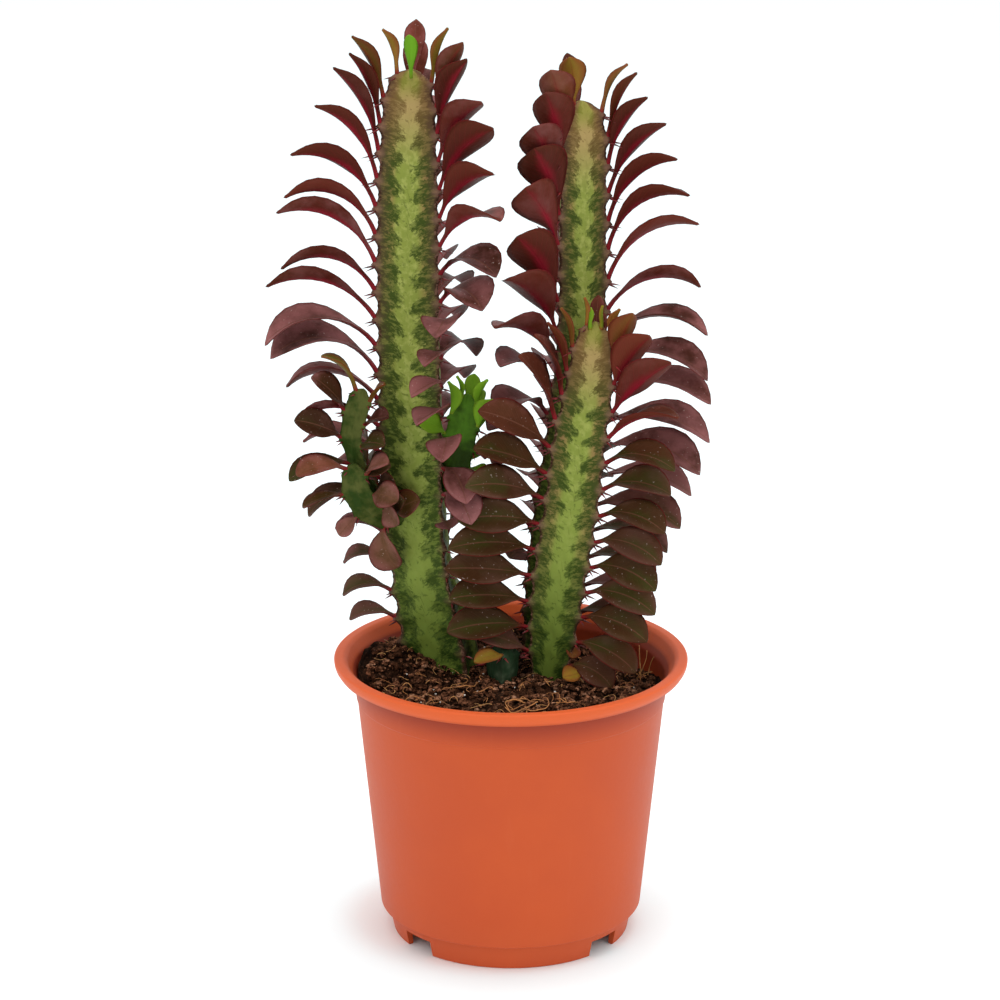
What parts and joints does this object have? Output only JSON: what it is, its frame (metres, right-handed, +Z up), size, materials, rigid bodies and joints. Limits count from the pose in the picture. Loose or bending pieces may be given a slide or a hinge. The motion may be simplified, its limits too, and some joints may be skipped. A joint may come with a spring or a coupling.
{
  "type": "potted euphorbia",
  "caption": "Potted red euphorbia: toothed, three-ribbed succulent stems with leaves along every rib, growing in soil in a round plastic nursery pot.",
  "frame": {"origin": "middle of the plant's and pot's common bounding box, on the plane the pot stands on; the pot's own axis is 9.9 mm to +X and 7.3 mm to -Y of it", "axes": "+Z up along the pot's axis, +X to the viewer's right and -Y towards the viewer of the plant's front, where the shortest of the tall stems stands before the others"},
  "size_m": [0.211, 0.1841, 0.4384],
  "materials": {
    "terracotta plastic": "satin",
    "potting soil": "matte",
    "euphorbia": "satin"
  },
  "bodies": {
    "root": {"pot": "terracotta plastic", "soil": "potting soil", "tall_stem": "euphorbia", "back_stem": "euphorbia", "front_stem": "euphorbia", "soil_offshoot": "euphorbia"}
  },
  "joints": []
}
